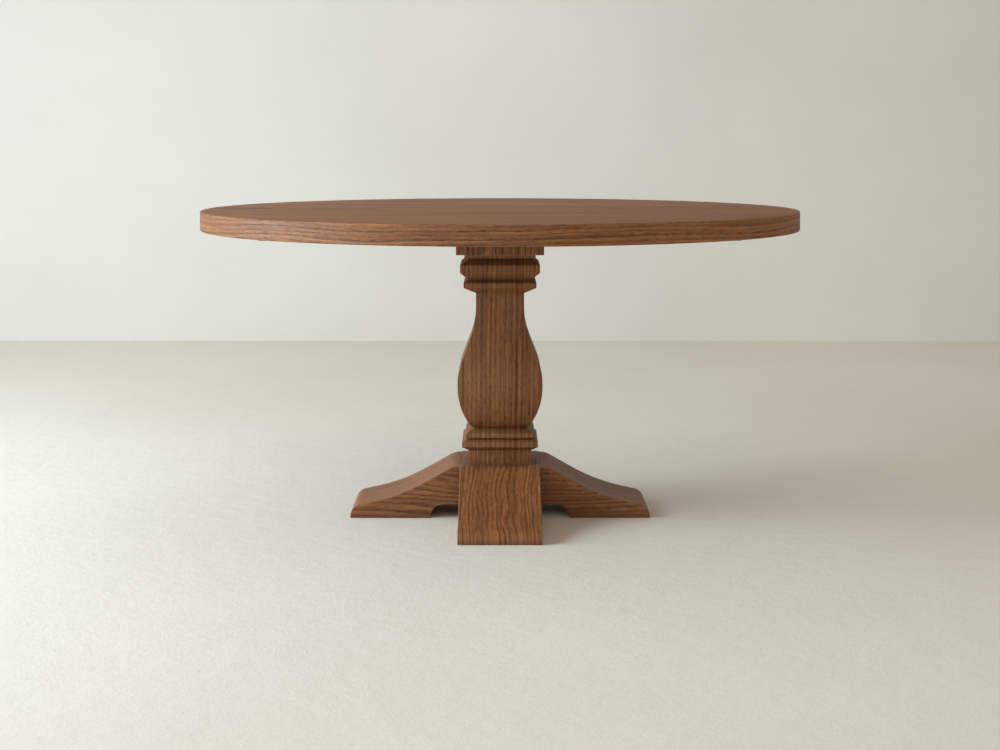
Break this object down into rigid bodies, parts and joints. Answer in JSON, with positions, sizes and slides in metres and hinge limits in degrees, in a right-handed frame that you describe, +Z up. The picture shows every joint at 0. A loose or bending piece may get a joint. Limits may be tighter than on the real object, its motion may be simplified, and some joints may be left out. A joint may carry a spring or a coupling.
{
  "type": "round pedestal table",
  "caption": "Round wooden dining table on a square baluster pedestal with a cross-shaped base and screw levellers hidden in its feet.",
  "frame": {"origin": "on the floor, under the middle of the round top", "axes": "+Z up through the column, +X along the top's boards, -Y towards the front"},
  "size_m": [1.5, 1.5, 0.77],
  "materials": {
    "oak_top": "satin",
    "oak_batten": "satin",
    "oak_column": "satin",
    "oak_base": "satin",
    "oak_inner": "unfinished",
    "zinc_steel": "zinc plated",
    "pad_plastic": "matte"
  },
  "bodies": {
    "root": {"top_board_01": "oak_top", "top_board_02": "oak_top", "top_board_03": "oak_top", "top_board_04": "oak_top", "top_board_05": "oak_top", "top_board_06": "oak_top", "top_board_07": "oak_top", "top_board_08": "oak_top", "top_board_09": "oak_top", "top_board_10": "oak_top", "top_tongue_01": "oak_inner", "top_tongue_02": "oak_inner", "top_tongue_03": "oak_inner", "top_tongue_04": "oak_inner", "top_tongue_05": "oak_inner", "top_tongue_06": "oak_inner", "top_tongue_07": "oak_inner", "top_tongue_08": "oak_inner", "top_tongue_09": "oak_inner", "column_top_block": "oak_inner", "column_bottom_block": "oak_inner", "column_dowels": "oak_inner", "batten_long": "oak_batten", "batten_cross": "oak_batten", "column_stave_right": "oak_column", "column_stave_back": "oak_column", "column_stave_left": "oak_column", "column_stave_front": "oak_column", "base_beam_x": "oak_base", "base_beam_y": "oak_base", "batten_screws": "zinc_steel", "lag_washers": "zinc_steel", "lag_bolts": "zinc_steel", "tie_rod": "zinc_steel", "tie_rod_washer_upper": "zinc_steel", "tie_rod_nut_upper": "zinc_steel", "tie_rod_washer_lower": "zinc_steel", "tie_rod_nut_lower": "zinc_steel", "leveller_inserts": "zinc_steel"},
    "pad_right": {"leveller_pad_right": "pad_plastic"},
    "stem_right": {"leveller_stem_right": "zinc_steel"},
    "pad_back": {"leveller_pad_back": "pad_plastic"},
    "stem_back": {"leveller_stem_back": "zinc_steel"},
    "pad_left": {"leveller_pad_left": "pad_plastic"},
    "stem_left": {"leveller_stem_left": "zinc_steel"},
    "pad_front": {"leveller_pad_front": "pad_plastic"},
    "stem_front": {"leveller_stem_front": "zinc_steel"}
  },
  "joints": [
    {"name": "leveller_right_height", "type": "slide", "parent": "root", "child": "pad_right", "axis": [0, 0, -1], "range_m": [0, 0.01]},
    {"name": "leveller_right_turn", "type": "hinge", "parent": "pad_right", "child": "stem_right", "pos_m": [0.276, 0, 0.012], "axis": [0, 0, -1], "range_deg": [0, 2880]},
    {"name": "leveller_back_height", "type": "slide", "parent": "root", "child": "pad_back", "axis": [0, 0, -1], "range_m": [0, 0.01]},
    {"name": "leveller_back_turn", "type": "hinge", "parent": "pad_back", "child": "stem_back", "pos_m": [0, 0.276, 0.012], "axis": [0, 0, -1], "range_deg": [0, 2880]},
    {"name": "leveller_left_height", "type": "slide", "parent": "root", "child": "pad_left", "axis": [0, 0, -1], "range_m": [0, 0.01]},
    {"name": "leveller_left_turn", "type": "hinge", "parent": "pad_left", "child": "stem_left", "pos_m": [-0.276, 0, 0.012], "axis": [0, 0, -1], "range_deg": [0, 2880]},
    {"name": "leveller_front_height", "type": "slide", "parent": "root", "child": "pad_front", "axis": [0, 0, -1], "range_m": [0, 0.01]},
    {"name": "leveller_front_turn", "type": "hinge", "parent": "pad_front", "child": "stem_front", "pos_m": [0, -0.276, 0.012], "axis": [0, 0, -1], "range_deg": [0, 2880]}
  ],
  "couplings": [
    {"joint": "leveller_right_turn", "follows": "leveller_right_height", "rad_per_m": 5026.5},
    {"joint": "leveller_back_turn", "follows": "leveller_back_height", "rad_per_m": 5026.5},
    {"joint": "leveller_left_turn", "follows": "leveller_left_height", "rad_per_m": 5026.5},
    {"joint": "leveller_front_turn", "follows": "leveller_front_height", "rad_per_m": 5026.5}
  ]
}
